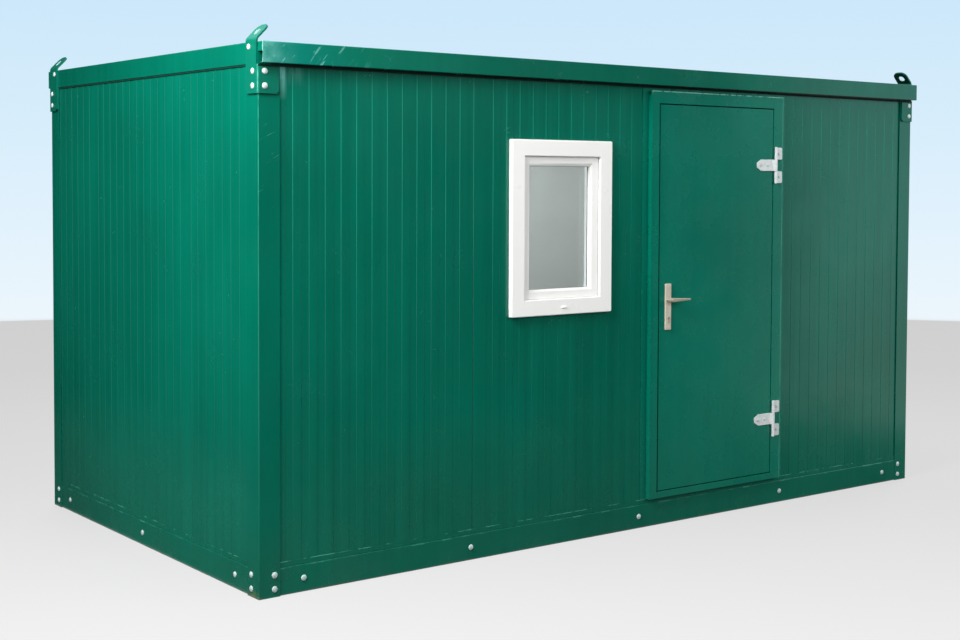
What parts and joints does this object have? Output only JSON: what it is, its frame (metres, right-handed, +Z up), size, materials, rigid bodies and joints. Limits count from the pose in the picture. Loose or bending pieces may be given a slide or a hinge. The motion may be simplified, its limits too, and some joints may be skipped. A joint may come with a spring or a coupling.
{
  "type": "portable site cabin",
  "caption": "Portable site cabin with a bolted steel frame, ribbed sandwich panel walls, a hinged steel door, a window and lifting lugs.",
  "frame": {"origin": "centre of the floor frame in plan, at its underside on the ground", "axes": "+X along the cabin to the door end, -Y out of the door side, +Z up"},
  "size_m": [4.266, 2.3765, 2.3735],
  "materials": {
    "frame_green": "glossy green enamel on folded steel",
    "panel_green": "glossy green coil coated steel skin, micro-ribbed",
    "roof_green": "coated steel roof sheet",
    "door_green": "glossy green enamel on flat steel sheet",
    "joist_steel": "galvanised steel",
    "deck_board": "film faced plywood",
    "zinc_steel": "bright zinc plate",
    "handle_metal": "satin nickel",
    "cylinder_metal": "satin nickel plated brass",
    "window_white": "smooth white window profile",
    "pane_glass": "double glazed pane"
  },
  "bodies": {
    "cabin": {"floor_rail_front": "frame_green", "floor_rail_back": "frame_green", "floor_rail_left": "frame_green", "floor_rail_right": "frame_green", "floor_joists": "joist_steel", "floor_deck": "deck_board", "corner_post_front_left": "frame_green", "corner_post_front_right": "frame_green", "corner_post_back_left": "frame_green", "corner_post_back_right": "frame_green", "lifting_plate_front_left": "frame_green", "lifting_plate_front_right": "frame_green", "lifting_plate_back_left": "frame_green", "lifting_plate_back_right": "frame_green", "wall_tracks": "frame_green", "front_panel_left": "panel_green", "front_panel_window": "panel_green", "front_panel_right": "panel_green", "back_panel_1": "panel_green", "back_panel_2": "panel_green", "back_panel_3": "panel_green", "back_panel_4": "panel_green", "left_panel_front": "panel_green", "left_panel_middle": "panel_green", "left_panel_back": "panel_green", "right_panel_front": "panel_green", "right_panel_middle": "panel_green", "right_panel_back": "panel_green", "gutter_front": "frame_green", "gutter_back": "frame_green", "roof_rail_left": "frame_green", "roof_rail_right": "frame_green", "roof_panel_1": "roof_green", "roof_panel_2": "roof_green", "roof_panel_3": "roof_green", "roof_panel_4": "roof_green", "door_jamb_left": "door_green", "door_jamb_right": "door_green", "door_head": "door_green", "door_sill": "door_green", "hinge_wings": "zinc_steel", "window_frame": "window_white", "window_sash": "window_white", "window_glass": "pane_glass"},
    "door": {"door_leaf": "door_green", "hinge_straps": "zinc_steel", "handle_plates": "handle_metal", "lock_cylinder": "cylinder_metal"},
    "lever": {"lever_outer": "handle_metal", "lever_inner": "handle_metal"}
  },
  "joints": [
    {"name": "door_hinge", "type": "hinge", "parent": "cabin", "child": "door", "pos_m": [0.944, -1.167, 1.14575], "axis": [0, 0, 1], "range_deg": [0, 170]},
    {"name": "lever_turn", "type": "hinge", "parent": "door", "child": "lever", "pos_m": [0.1685, -1.162, 1.141], "axis": [0, 1, 0], "range_deg": [0, 42], "stiffness_Nm_per_rad": 0.8, "springref_deg": -20.05}
  ]
}
